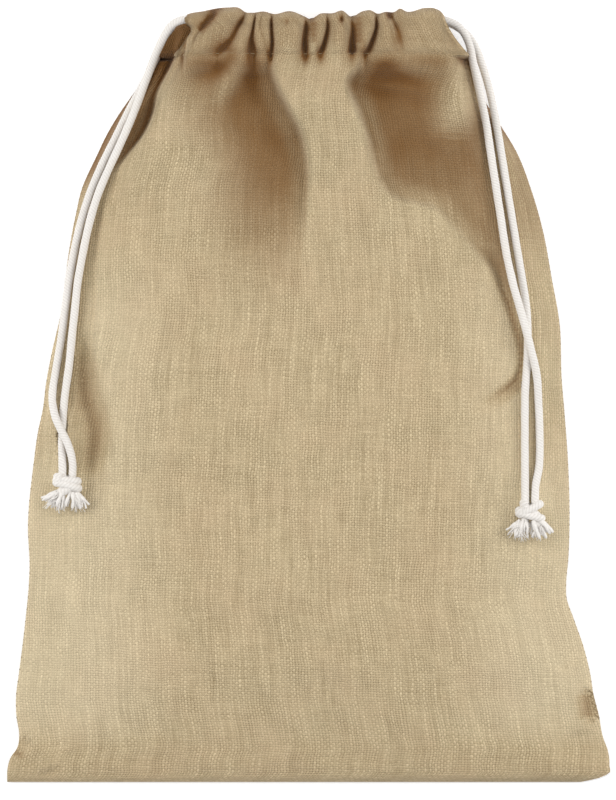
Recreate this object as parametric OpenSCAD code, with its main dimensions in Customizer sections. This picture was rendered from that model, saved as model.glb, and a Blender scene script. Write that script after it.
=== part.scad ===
// Drawstring gift pouch in hessian cloth, lying on its back with the mouth drawn in.
// Two flat cloth panels are sewn together at the sides and the bottom. The top of each panel
// is folded over into a casing, and two cotton drawcords run through both casings, one pulled
// from each side. +X is to the right as one looks down on it, +Y points to the mouth, +Z is up.

/* [Pouch] */
// Width across the bottom corners
pouch_w = 300; // [240:1:360]
// Length from the bottom edge to the top of the hem
pouch_h = 386; // [320:1:464]
// Width of the drawn-in neck, just below the casings
neck_w = 144; // [136:1:172]
// How far the body of the front panel is puffed up above the back panel
body_crown = 26; // [22:1:34]
// Thickness of the cloth
cloth_t = 1.2; // [0.9:0.1:1.6]
// Width of the flat rim where the two panels are sewn together
rim_w = 5; // [4:0.5:7]

/* [Casings] */
// Width of the drawn-in mouth, from casing end to casing end
mouth_w = 110; // [91:1:132]
// Width of the bunched middle of each casing
bunch_w = 60; // [50:1:72]
// Height of a casing, from its stitch line to the top of the hem
casing_h = 25; // [23:0.5:32]
// Gap between the two casings, which is the opening of the mouth
mouth_gap = 6; // [5:0.5:14]
// How deep a casing end reaches into the bunched middle
end_overlap = 4; // [2:0.5:8]
// Clearance around a casing end where it slides into the bunched middle
slide_fit = 0.4; // [0.3:0.1:0.8]

/* [Cords] */
// Thickness of a drawcord
cord_d = 4; // [3:0.1:4.8]
// Clearance between the cords, and between a cord and its channel
cord_gap = 0.8; // [0.5:0.1:1.4]
// Radius of the bends where a cord crosses from the front casing to the back one
cross_r = 5; // [4:0.5:6]
// Width of the knot that joins the two ends of a drawcord
knot_w = 15; // [12:0.5:20]
// Height of the knot
knot_d = 8.8; // [7:0.2:10]
// Length of the frayed ends below the knot
fray_len = 11; // [6:1:16]
// Width that the frayed ends spread to
fray_w = 22; // [14:1:26]

/* [Stitches] */
// Thickness of the sewing thread
thread_d = 0.8; // [0.5:0.1:1]
// Length of one stitch on a casing
stitch_len = 3; // [2:0.5:5]
// Gap between two stitches
stitch_gap = 1; // [0.5:0.5:2]
// Distance from the edge of the cloth at which the seams end
seam_end = 30; // [20:1:40]

/* [Hidden] */

hessian = "burlywood";
shaded_hessian = "tan";
cotton = "ivory";
sewing_thread = "wheat";

// Levels along Y: the bottom edge, the top of the hem, and the casing's stitch line.
bottom_y = -pouch_h / 2;
top_y = pouch_h / 2;
casing_y = top_y - casing_h;
body_h = casing_y - bottom_y;

// A casing is a cloth tube: the channel that holds two cords one above the other, the wall
// of the sliding end, its clearance, and the wall of the bunched middle.
channel_h = 2 * cord_d + 3 * cord_gap;
wall_and_fit = cloth_t + slide_fit;
casing_t = channel_h + 2 * cloth_t + 2 * wall_and_fit;
front_z = casing_t + mouth_gap;
back_mid_z = casing_t / 2;
front_mid_z = front_z + casing_t / 2;

// The cords run from high on their own side to low on the far side.
lane_lift = (cord_d + cord_gap) / 2;
exit_y = top_y - 7;
cross_y = casing_y + 8;
run_dx = mouth_w;
run_dy = exit_y - cross_y;
run_len = sqrt(run_dx * run_dx + run_dy * run_dy);
run_angle = atan2(run_dy, run_dx);

// Half widths of the body as shares of its half width at the bottom, by height: 0 is the
// bottom edge and 1 is the casing's stitch line. The two sides of the cloth differ a little.
neck_share = neck_w / pouch_w;
left_side = [[0, 1], [0.05, 0.973], [0.12, 0.975], [0.22, 0.945], [0.31, 0.929],
             [0.4, 0.925], [0.49, 0.9], [0.59, 0.857], [0.69, 0.811], [0.78, 0.776],
             [0.84, 0.735], [0.9, 0.667], [0.955, 0.575], [1, neck_share]];
right_side = [[0, 1], [0.05, 0.984], [0.12, 0.95], [0.22, 0.885], [0.31, 0.866],
              [0.4, 0.867], [0.49, 0.858], [0.59, 0.838], [0.69, 0.816], [0.78, 0.771],
              [0.84, 0.728], [0.9, 0.652], [0.955, 0.58], [1, neck_share]];

function share(y) = (y - bottom_y) / body_h;
function left_x(y) = -lookup(share(y), left_side) * pouch_w / 2;
function right_x(y) = lookup(share(y), right_side) * pouch_w / 2;
function height_y(v) = bottom_y + v * body_h;
function smooth(u) = let (c = min(1, max(0, u))) c * c * (3 - 2 * c);

// The front panel is a shell over a grid. Its columns crowd towards the sides, its rows
// start with the flat rim and the rise from the bottom edge.
columns = 18;
rise_len = 70;
shoulder_share = 0.72;
neck_crown = front_mid_z - 1.5 * cloth_t;
row_ys = concat([bottom_y, bottom_y + rim_w, bottom_y + rim_w + 3, bottom_y + rim_w + 8,
                 bottom_y + rim_w + 18],
                [for (i = [2:20]) bottom_y + body_h * i / 20]);

function neck_blend(y) = smooth((share(y) - shoulder_share) / (1 - shoulder_share));
function crown(y) = let (rise = min(1, max(0, (y - bottom_y - rim_w) / rise_len)),
                         full = body_crown + (neck_crown - body_crown) * neck_blend(y))
                    full * pow(sin(90 * rise), 0.7);
function fullness(y) = 0.8 - 0.5 * neck_blend(y);
function column_t(i) = (1 - cos(180 * i / columns)) / 2;
function arch(t, y) = crown(y) * pow(max(0, sin(180 * t)), fullness(y));

// One row of the shell: the rim's edge, the arch from rim to rim, and the rim's other edge.
function shell_row(y, inset, z) =
    let (x0 = left_x(y) + inset, x1 = right_x(y) - inset)
    concat([[left_x(y), y, z]],
           [for (i = [0:columns]) let (t = column_t(i)) [x0 + (x1 - x0) * t, y, z + arch(t, y)]],
           [[right_x(y), y, z]]);

module shell_between_rows() {
    n = columns + 3;
    m = len(row_ys);
    outer = [for (y = row_ys) each shell_row(y, rim_w, 2 * cloth_t)];
    inner = [for (y = row_ys) each shell_row(y, rim_w + cloth_t, cloth_t)];
    k = n * m;
    quads = concat(
        [for (r = [0:m - 2], c = [0:n - 2])
            [r * n + c, (r + 1) * n + c, (r + 1) * n + c + 1, r * n + c + 1]],
        [for (r = [0:m - 2], c = [0:n - 2])
            [k + r * n + c, k + r * n + c + 1, k + (r + 1) * n + c + 1, k + (r + 1) * n + c]],
        [for (r = [0:m - 2]) [r * n, k + r * n, k + (r + 1) * n, (r + 1) * n]],
        [for (r = [0:m - 2])
            [r * n + n - 1, (r + 1) * n + n - 1, k + (r + 1) * n + n - 1, k + r * n + n - 1]],
        [for (c = [0:n - 2]) [c, c + 1, k + c + 1, k + c]],
        [for (c = [0:n - 2])
            [(m - 1) * n + c, k + (m - 1) * n + c, k + (m - 1) * n + c + 1, (m - 1) * n + c + 1]]);
    triangles = [for (q = quads) each [[q[0], q[1], q[2]], [q[0], q[2], q[3]]]];
    polyhedron(points = concat(outer, inner), faces = triangles);
}

module back_panel() {
    color(shaded_hessian)
        linear_extrude(cloth_t)
            polygon(concat([for (s = left_side) [left_x(height_y(s[0])), height_y(s[0])]],
                           [for (i = [len(right_side) - 1:-1:0])
                               let (y = height_y(right_side[i][0])) [right_x(y), y]]));
}

module front_panel() {
    color(hessian) shell_between_rows();
}

// A seam is a line of thread inside the pouch, on the back panel just past the rim.
seam_inset = rim_w + cloth_t + 3;
seam_ys = [for (i = [0:14])
    let (y0 = bottom_y + seam_end, y1 = casing_y - seam_end / 2) y0 + (y1 - y0) * i / 14];

module side_seam(side) {
    function edge(y, inset) = side < 0 ? left_x(y) + inset : right_x(y) - inset;
    color(sewing_thread)
        translate([0, 0, cloth_t])
            linear_extrude(thread_d)
                polygon(concat([for (y = seam_ys) [edge(y, seam_inset), y]],
                               [for (i = [len(seam_ys) - 1:-1:0])
                                   [edge(seam_ys[i], seam_inset + thread_d), seam_ys[i]]]));
}

module left_side_seam() {
    side_seam(-1);
}

module right_side_seam() {
    side_seam(1);
}

module bottom_seam() {
    color(sewing_thread)
        translate([-pouch_w / 2 + seam_end, bottom_y + seam_inset, cloth_t])
            cube([pouch_w - 2 * seam_end, thread_d, thread_d]);
}

// A length of cloth tube along X, with its walls inside the given outer size.
module cloth_tube(x0, x1, y0, z0, size_y, size_z) {
    difference() {
        translate([x0, y0, z0])
            cube([x1 - x0, size_y, size_z]);
        translate([x0 - 1, y0 + cloth_t, z0 + cloth_t])
            cube([x1 - x0 + 2, size_y - 2 * cloth_t, size_z - 2 * cloth_t]);
    }
}

module bunched_casing(z0) {
    cloth_tube(-bunch_w / 2, bunch_w / 2, casing_y, z0, casing_h, casing_t);
}

// The flat end of a casing slides inside the bunched middle as the mouth is drawn in.
module casing_end(side, z0) {
    inner_x = bunch_w / 2 - end_overlap;
    x0 = side < 0 ? -mouth_w / 2 : inner_x;
    x1 = side < 0 ? -inner_x : mouth_w / 2;
    cloth_tube(x0, x1, casing_y + wall_and_fit, z0 + wall_and_fit,
               casing_h - 2 * wall_and_fit, casing_t - 2 * wall_and_fit);
}

module back_casing() {
    color(shaded_hessian) bunched_casing(0);
}

module front_casing() {
    color(hessian) bunched_casing(front_z);
}

module front_casing_left_end() {
    color(hessian) casing_end(-1, front_z);
}

module back_casing_left_end() {
    color(shaded_hessian) casing_end(-1, 0);
}

module front_casing_right_end() {
    color(hessian) casing_end(1, front_z);
}

module back_casing_right_end() {
    color(shaded_hessian) casing_end(1, 0);
}

// A row of stitches along a casing's lower edge.
module stitch_row(z0) {
    pitch = stitch_len + stitch_gap;
    count = floor((bunch_w - stitch_gap) / pitch);
    start_x = -(count * pitch - stitch_gap) / 2;
    color(sewing_thread)
        for (i = [0:count - 1])
            translate([start_x + i * pitch, casing_y + cloth_t, z0])
                cube([stitch_len, thread_d, thread_d / 2]);
}

module back_casing_stitching() {
    stitch_row(casing_t);
}

module front_casing_stitching() {
    stitch_row(front_z + casing_t);
}

// The straight part of a cord inside a casing, from its exit on one side to the far side.
module cord_run(side, z) {
    color(cotton)
        translate([side * mouth_w / 2, exit_y, z])
            rotate([0, 0, side < 0 ? -run_angle : 180 + run_angle])
                rotate([0, 90, 0])
                    cylinder(d = cord_d, h = run_len, $fn = 32);
}

// The bend that brings a cord from the front casing's far end back into the back casing.
module cord_crossover(side, low_z, high_z) {
    color(cotton)
        translate([-side * mouth_w / 2, cross_y, 0])
            rotate([0, 0, side < 0 ? -run_angle : 180 + run_angle]) {
                translate([0, 0, high_z - cross_r])
                    rotate([90, 0, 0])
                        rotate_extrude(angle = 90, $fn = 48)
                            translate([cross_r, 0])
                                circle(d = cord_d, $fn = 32);
                translate([cross_r, 0, low_z + cross_r])
                    cylinder(d = cord_d, h = high_z - low_z - 2 * cross_r, $fn = 32);
                translate([0, 0, low_z + cross_r])
                    rotate([-90, 0, 0])
                        rotate_extrude(angle = 90, $fn = 48)
                            translate([cross_r, 0])
                                circle(d = cord_d, $fn = 32);
            }
}

module left_cord_front_run() {
    cord_run(-1, front_mid_z + lane_lift);
}

module left_cord_back_run() {
    cord_run(-1, back_mid_z - lane_lift);
}

module left_cord_crossover() {
    cord_crossover(-1, back_mid_z - lane_lift, front_mid_z + lane_lift);
}

module right_cord_front_run() {
    cord_run(1, front_mid_z - lane_lift);
}

module right_cord_back_run() {
    cord_run(1, back_mid_z + lane_lift);
}

module right_cord_crossover() {
    cord_crossover(1, back_mid_z + lane_lift, front_mid_z - lane_lift);
}

// The tails' routes, from the casing's end to the knot.
left_front_route = [
    [-55, 186, 32.4], [-60.5, 186.5, 32.4], [-66.5, 184.5, 31.6], [-70.5, 180, 30],
    [-76, 169, 25], [-81, 156, 20.5], [-86, 143, 17], [-92, 129, 15.2], [-99, 114, 13.4],
    [-105, 100, 11.5], [-109.5, 85, 10], [-112.5, 71, 9.5], [-115, 57, 9], [-116.5, 43, 9],
    [-118, 29, 9.5], [-119.5, 14, 9.5], [-121.5, 0, 9.3], [-122.6, -14, 9.6],
    [-122.9, -24, 10.6], [-122.6, -32, 13.6], [-122.5, -37, 15], [-122.5, -40, 15]];
left_back_route = [
    [-55, 186, 5.6], [-60.5, 186.5, 5.6], [-66.5, 184.5, 5.6], [-70.5, 180, 5.8],
    [-76, 169, 7], [-82, 156, 9], [-89, 143, 10.8], [-96.5, 128, 11], [-103.5, 114, 10.2],
    [-109, 101, 8.2], [-113.5, 87, 6.8], [-117, 72, 6.2], [-119.5, 58, 6], [-121.5, 43, 6],
    [-123.5, 28, 6], [-126, 13, 6.2], [-127.8, -1, 9], [-125.5, -12, 13.6],
    [-119.8, -24, 15], [-117.5, -33, 15], [-117.5, -40, 15]];
right_front_route = [
    [55, 186, 27.6], [60.5, 186.5, 27.6], [68.5, 186, 27.6], [75, 182.5, 27], [79.5, 175, 25.5],
    [82.5, 162, 22.4], [85.5, 149, 19], [88.5, 135, 16.5], [91, 119, 15], [93.5, 103, 14.6],
    [96, 87, 14.2], [98.5, 71, 14.2], [102, 55, 15.4], [106.5, 39, 15.8], [110.5, 24, 15.4],
    [113.7, 10, 13], [114.7, -5, 10.8], [115.2, -20, 10.6], [115, -34, 11.6],
    [113.2, -44, 14.2], [112.8, -51, 15.6], [112.8, -54.2, 15.6]];
right_back_route = [
    [55, 186, 10.4], [60.5, 186.5, 10.4], [68.5, 186.2, 10.4], [76, 182.5, 10.4], [82, 176, 10.4],
    [86.5, 165, 10.4], [90.5, 151, 10.6], [93.5, 136, 11.2], [96, 121, 12], [98.5, 106, 12],
    [101, 91, 11.6], [103.5, 76, 11.2], [106, 61, 11], [108.5, 45, 11], [109.3, 31, 11],
    [109, 17, 11.2], [108, 3, 12], [107.8, -12, 12.4], [107.8, -28, 12.8],
    [107.8, -43, 14.4], [107.8, -50.5, 15.6], [107.8, -54.2, 15.6]];

tail_sides = 8;

function unit(v) = v / norm(v);
function route_way(route, i) =
    unit(route[min(len(route) - 1, i + 1)] - route[max(0, i - 1)]);
function end_way(route, i) = i == 0 ? unit(route[1] - route[0])
    : i == len(route) - 1 ? unit(route[i] - route[i - 1]) : route_way(route, i);
function ring(centre, way) =
    let (across = unit(cross(way, [0, 0, 1])), over = cross(across, way))
    [for (j = [0:tail_sides - 1]) let (a = 360 * (j + 0.5) / tail_sides)
        centre + cord_d / 2 * (cos(a) * across + sin(a) * over)];

module tail_strand(route) {
    m = len(route);
    s = tail_sides;
    walls = [for (r = [0:m - 2], j = [0:s - 1])
        [r * s + j, r * s + (j + 1) % s, (r + 1) * s + (j + 1) % s, (r + 1) * s + j]];
    color(cotton)
        polyhedron(points = [for (i = [0:m - 1]) each ring(route[i], end_way(route, i))],
                   faces = concat([[for (j = [s - 1:-1:0]) j]],
                                  [for (q = walls) each [[q[0], q[1], q[2]],
                                                         [q[0], q[2], q[3]]]],
                                  [[for (j = [0:s - 1]) (m - 1) * s + j]]));
}

module left_tail_front_strand() {
    tail_strand(left_front_route);
}

module left_tail_back_strand() {
    tail_strand(left_back_route);
}

module right_tail_front_strand() {
    tail_strand(right_front_route);
}

module right_tail_back_strand() {
    tail_strand(right_back_route);
}

// Where a knot's middle lies, from the last points of its two strands.
knot_flat = 3.8;
function knot_place(front, back) =
    let (a = front[len(front) - 1], b = back[len(back) - 1])
    [(a[0] + b[0]) / 2, a[1] - knot_flat, a[2]];

// A knot is a short fat roll across the cord, flat where the strands and the frayed ends meet it.
module knot(place) {
    reach = (knot_w - knot_d) / 2;
    color(cotton)
        translate(place)
            intersection() {
                union() {
                    translate([-reach, 0, 0])
                        rotate([0, 90, 0])
                            cylinder(d = knot_d, h = 2 * reach, $fn = 32);
                    for (x = [-reach, reach])
                        translate([x, 0, 0])
                            sphere(d = knot_d, $fn = 32);
                }
                cube([2 * knot_w, 2 * knot_flat, 2 * knot_d], center = true);
            }
}

module frayed_ends(place) {
    color(cotton)
        translate([place[0], place[1] - knot_flat, place[2] - cord_d / 2])
            linear_extrude(cord_d)
                polygon([[-cord_d, 0], [cord_d, 0], [fray_w / 2, -fray_len],
                         [-fray_w / 2, -fray_len]]);
}

module left_knot() {
    knot(knot_place(left_front_route, left_back_route));
}

module left_frayed_ends() {
    frayed_ends(knot_place(left_front_route, left_back_route));
}

module right_knot() {
    knot(knot_place(right_front_route, right_back_route));
}

module right_frayed_ends() {
    frayed_ends(knot_place(right_front_route, right_back_route));
}

back_panel();
front_panel();
left_side_seam();
right_side_seam();
bottom_seam();
back_casing();
front_casing();
back_casing_stitching();
front_casing_stitching();
front_casing_left_end();
back_casing_left_end();
front_casing_right_end();
back_casing_right_end();
left_cord_front_run();
left_cord_back_run();
left_cord_crossover();
left_tail_front_strand();
left_tail_back_strand();
left_knot();
left_frayed_ends();
right_cord_front_run();
right_cord_back_run();
right_cord_crossover();
right_tail_front_strand();
right_tail_back_strand();
right_knot();
right_frayed_ends();
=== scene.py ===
# Looks of the drawstring gift pouch: hessian cloth, cotton drawcords, knots and stitches.
import math

import bpy
import numpy as np
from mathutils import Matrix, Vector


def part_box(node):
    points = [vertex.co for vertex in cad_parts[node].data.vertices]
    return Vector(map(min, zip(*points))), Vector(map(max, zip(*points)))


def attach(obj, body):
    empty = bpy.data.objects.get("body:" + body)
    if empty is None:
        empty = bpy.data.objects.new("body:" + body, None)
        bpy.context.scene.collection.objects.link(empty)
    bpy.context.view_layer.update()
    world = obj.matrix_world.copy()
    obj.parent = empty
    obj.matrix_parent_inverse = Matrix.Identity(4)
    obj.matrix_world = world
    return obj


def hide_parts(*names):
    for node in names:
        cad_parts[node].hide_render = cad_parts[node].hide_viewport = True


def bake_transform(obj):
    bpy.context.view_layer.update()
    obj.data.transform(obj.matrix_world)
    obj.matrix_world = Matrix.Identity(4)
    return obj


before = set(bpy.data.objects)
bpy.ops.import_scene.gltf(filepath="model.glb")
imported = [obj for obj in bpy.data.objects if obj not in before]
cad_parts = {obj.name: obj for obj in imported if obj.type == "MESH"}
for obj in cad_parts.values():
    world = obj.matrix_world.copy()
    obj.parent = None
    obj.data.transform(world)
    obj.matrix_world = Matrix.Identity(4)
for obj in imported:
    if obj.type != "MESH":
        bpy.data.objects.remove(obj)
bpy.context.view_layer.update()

MM = 0.001
RNG = np.random.RandomState(20)

# ---------------------------------------------------------------- measures, in millimetres

def box_mm(node):
    return (np.array(corner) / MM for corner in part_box(node))


PANEL_LOW, _ = box_mm("back_panel")
FRONT_LOW, FRONT_HIGH = box_mm("front_casing")
BOTTOM_Y = PANEL_LOW[1]
STITCH_Y = FRONT_LOW[1]
TOP_Y = FRONT_HIGH[1]
FRONT_MID_Z = (FRONT_LOW[2] + FRONT_HIGH[2]) / 2
PLEAT_BASE_Z = FRONT_MID_Z + 5.6
CLOTH_T = 0.9
CORD_D = 4.0
EXIT_X = 55.0
FLOOR_Z = -0.4
PANEL_WIDTH = 300.0
SIDES = {"left": -1, "right": 1}

# The tails' routes, the same points as in the design, in millimetres.
ROUTES = {
    "left_tail_front_strand": [
        (-55, 186, 32.4), (-60.5, 186.5, 32.4), (-66.5, 184.5, 31.6), (-70.5, 180, 30), (-76, 169, 25),
        (-81, 156, 20.5), (-86, 143, 17), (-92, 129, 15.2), (-99, 114, 13.4), (-105, 100, 11.5),
        (-109.5, 85, 10), (-112.5, 71, 9.5), (-115, 57, 9), (-116.5, 43, 9), (-118, 29, 9.5),
        (-119.5, 14, 9.5), (-121.5, 0, 9.3), (-122.6, -14, 9.6), (-122.9, -24, 10.6),
        (-122.6, -32, 13.6), (-122.5, -37, 15), (-122.5, -40, 15)],
    "left_tail_back_strand": [
        (-55, 186, 5.6), (-60.5, 186.5, 5.6), (-66.5, 184.5, 5.6), (-70.5, 180, 5.8), (-76, 169, 7),
        (-82, 156, 9), (-89, 143, 10.8), (-96.5, 128, 11), (-103.5, 114, 10.2), (-109, 101, 8.2),
        (-113.5, 87, 6.8), (-117, 72, 6.2), (-119.5, 58, 6), (-121.5, 43, 6), (-123.5, 28, 6),
        (-126, 13, 6.2), (-127.8, -1, 9), (-125.5, -12, 13.6), (-119.8, -24, 15), (-117.5, -33, 15),
        (-117.5, -40, 15)],
    "right_tail_front_strand": [
        (55, 186, 27.6), (60.5, 186.5, 27.6), (68.5, 186, 27.6), (75, 182.5, 27), (79.5, 175, 25.5),
        (82.5, 162, 22.4), (85.5, 149, 19), (88.5, 135, 16.5), (91, 119, 15), (93.5, 103, 14.6),
        (96, 87, 14.2), (98.5, 71, 14.2), (102, 55, 15.4), (106.5, 39, 15.8), (110.5, 24, 15.4),
        (113.7, 10, 13), (114.7, -5, 10.8), (115.2, -20, 10.6), (115, -34, 11.6), (113.2, -44, 14.2),
        (112.8, -51, 15.6), (112.8, -54.2, 15.6)],
    "right_tail_back_strand": [
        (55, 186, 10.4), (60.5, 186.5, 10.4), (68.5, 186.2, 10.4), (76, 182.5, 10.4), (82, 176, 10.4),
        (86.5, 165, 10.4), (90.5, 151, 10.6), (93.5, 136, 11.2), (96, 121, 12), (98.5, 106, 12),
        (101, 91, 11.6), (103.5, 76, 11.2), (106, 61, 11), (108.5, 45, 11), (109.3, 31, 11),
        (109, 17, 11.2), (108, 3, 12), (107.8, -12, 12.4), (107.8, -28, 12.8), (107.8, -43, 14.4),
        (107.8, -50.5, 15.6), (107.8, -54.2, 15.6)],
}


# ---------------------------------------------------------------- small tools

def smooth(u):
    """0 below 0, 1 above 1, and a smooth rise between."""
    c = np.clip(u, 0, 1)
    return c * c * (3 - 2 * c)


def ramp(value, start, width):
    """Rises smoothly from 0 at start to 1 a width further on."""
    return smooth((value - start) / width)


def through(rows):
    """A smooth function through (where, value) rows, level beyond its ends."""
    rows = sorted(rows)
    t = np.array([r[0] for r in rows], float)
    v = np.array([r[1] for r in rows], float)
    slope = np.gradient(v, t)

    def value(q):
        q = np.clip(np.asarray(q, float), t[0], t[-1])
        i = np.clip(np.searchsorted(t, q, side="right") - 1, 0, len(t) - 2)
        h = t[i + 1] - t[i]
        u = (q - t[i]) / h
        return ((1 + 2 * u) * (1 - u) ** 2 * v[i] + u * (1 - u) ** 2 * h * slope[i]
                + u * u * (3 - 2 * u) * v[i + 1] + u * u * (u - 1) * h * slope[i + 1])

    return value


def waves(x, y, low, high, count, seed):
    """A gentle unevenness from a few sine waves, whose lengths lie between low and high."""
    rng = np.random.RandomState(seed)
    total = np.zeros(np.broadcast(x, y).shape)
    for _ in range(count):
        length = rng.uniform(low, high)
        turn = rng.uniform(0, math.pi)
        phase = rng.uniform(0, 2 * math.pi)
        total += np.sin(2 * math.pi * (x * math.cos(turn) + y * math.sin(turn)) / length + phase)
    return total / math.sqrt(count)


def spline(points, step):
    """Points along a smooth line through the given ones, about step apart."""
    p = np.array(points, float)
    ends = np.vstack([2 * p[0] - p[1], p, 2 * p[-1] - p[-2]])
    line = []
    for i in range(1, len(ends) - 2):
        a, b, c, d = ends[i - 1:i + 3]
        n = max(2, int(math.ceil(np.linalg.norm(c - b) / step)))
        for k in range(n):
            u = k / n
            line.append(0.5 * (2 * b + (c - a) * u + (2 * a - 5 * b + 4 * c - d) * u * u
                               + (3 * b - 3 * c + d - a) * u ** 3))
    line.append(p[-1])
    return np.array(line)


def flat_spline(points, step):
    return spline([(x, y, 0) for x, y in points], step)[:, :2]


def run_along(line):
    """Distance from the line's start to each of its points."""
    return np.concatenate([[0], np.cumsum(np.linalg.norm(np.diff(line, axis=0), axis=1))])


def new_mesh(name, points, faces, uvs=None, normals=None):
    """A mesh object from points in millimetres. uvs are per point, in metres of cloth or cord."""
    mesh = bpy.data.meshes.new(name)
    mesh.from_pydata((np.asarray(points) * MM).tolist(), [], faces)
    mesh.update()
    corner = np.empty(len(mesh.loops), np.int32)
    mesh.loops.foreach_get("vertex_index", corner)
    if uvs is not None:
        layer = mesh.uv_layers.new(name="UVMap")
        layer.data.foreach_set("uv", np.asarray(uvs, float)[corner].astype(np.float32).ravel())
    mesh.polygons.foreach_set("use_smooth", np.ones(len(mesh.polygons), bool))
    if normals is not None:
        mesh.normals_split_custom_set_from_vertices(np.asarray(normals).tolist())
    piece = bpy.data.objects.new(name, mesh)
    bpy.context.scene.collection.objects.link(piece)
    return piece


def add_point_value(piece, name, values):
    """A value for each point, which the material reads by name."""
    layer = piece.data.attributes.new(name, "FLOAT", "POINT")
    layer.data.foreach_set("value", np.asarray(values, float).ravel().astype(np.float32))


def dress(piece, material):
    piece.data.materials.append(material)


# ---------------------------------------------------------------- camera and light

def make_camera():
    lens, sensor, height = 300.0, 36.0, 0.4
    data = bpy.data.cameras.new("camera")
    data.lens = lens
    data.sensor_width = sensor
    data.clip_end = 50
    camera = bpy.data.objects.new("camera", data)
    camera.location = (-0.00025, -0.0021, height * lens / sensor)
    bpy.context.scene.collection.objects.link(camera)
    bpy.context.scene.camera = camera


def area_light(name, place, size, power, colour=(1, 1, 1)):
    data = bpy.data.lights.new(name, "AREA")
    data.shape = "SQUARE"
    data.size = size
    data.energy = power
    data.color = colour
    lamp = bpy.data.objects.new(name, data)
    lamp.location = place
    toward = -lamp.location
    lamp.rotation_mode = "QUATERNION"
    lamp.rotation_quaternion = toward.to_track_quat("-Z", "Y")
    bpy.context.scene.collection.objects.link(lamp)


def make_light():
    world = bpy.data.worlds.new("studio")
    world.use_nodes = True
    world.node_tree.nodes["Background"].inputs["Color"].default_value = (1, 1, 1, 1)
    world.node_tree.nodes["Background"].inputs["Strength"].default_value = 0.5
    bpy.context.scene.world = world
    area_light("left", (-1.35, 0.2, 0.95), 0.9, 13, (1.0, 0.99, 0.97))
    area_light("right", (1.35, 0.15, 0.95), 0.9, 13, (1.0, 0.99, 0.97))
    area_light("top", (0, 0.6, 1.5), 0.8, 5)
    bpy.context.scene.view_settings.view_transform = "Standard"


make_camera()
make_light()


# ---------------------------------------------------------------- materials

class Nodes:
    """Short ways to build a material's node tree."""

    def __init__(self, name):
        self.material = bpy.data.materials.new(name)
        self.material.use_nodes = True
        self.tree = self.material.node_tree
        self.shader = self.tree.nodes["Principled BSDF"]

    def add(self, kind, **settings):
        node = self.tree.nodes.new(kind)
        for key, value in settings.items():
            setattr(node, key, value)
        return node

    def link(self, source, target):
        self.tree.links.new(source, target)

    def surface(self, **inputs):
        """Sets the shader's inputs, whose names have _ for a space."""
        for key, value in inputs.items():
            self.feed(self.shader.inputs[key.replace("_", " ")], value)

    def feed(self, socket, value):
        if isinstance(value, bpy.types.NodeSocket):
            self.link(value, socket)
        else:
            socket.default_value = value

    def math(self, operation, *values):
        node = self.add("ShaderNodeMath", operation=operation)
        for i, value in enumerate(values):
            self.feed(node.inputs[i], value)
        return node.outputs[0]

    def plus(self, *values):
        return self.math("ADD", *values)

    def less(self, *values):
        return self.math("SUBTRACT", *values)

    def times(self, *values):
        return self.math("MULTIPLY", *values)

    def mix(self, share, low, high):
        """A colour between low and high."""
        node = self.add("ShaderNodeMix", data_type="RGBA")
        self.feed(node.inputs["Factor"], share)
        for key, value in (("A", low), ("B", high)):
            socket = [s for s in node.inputs if s.name == key and s.type == "RGBA"][0]
            self.feed(socket, value if isinstance(value, bpy.types.NodeSocket) else (*value, 1))
        return [s for s in node.outputs if s.type == "RGBA"][0]

    def noise(self, vector, scale, detail=2.0, roughness=0.5):
        node = self.add("ShaderNodeTexNoise")
        node.inputs["Scale"].default_value = scale
        node.inputs["Detail"].default_value = detail
        node.inputs["Roughness"].default_value = roughness
        self.link(vector, node.inputs["Vector"])
        return node.outputs["Fac"]

    def scaled(self, vector, factors):
        node = self.add("ShaderNodeVectorMath", operation="MULTIPLY")
        self.link(vector, node.inputs[0])
        node.inputs[1].default_value = factors
        return node.outputs[0]

    def levels(self, value, low, high):
        """0 at low, 1 at high, straight between."""
        node = self.add("ShaderNodeMapRange")
        node.inputs["From Min"].default_value = low
        node.inputs["From Max"].default_value = high
        self.link(value, node.inputs["Value"])
        return node.outputs["Result"]

    def bump(self, height, strength, distance):
        node = self.add("ShaderNodeBump")
        node.inputs["Strength"].default_value = strength
        node.inputs["Distance"].default_value = distance
        self.link(height, node.inputs["Height"])
        return node.outputs["Normal"]


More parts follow.
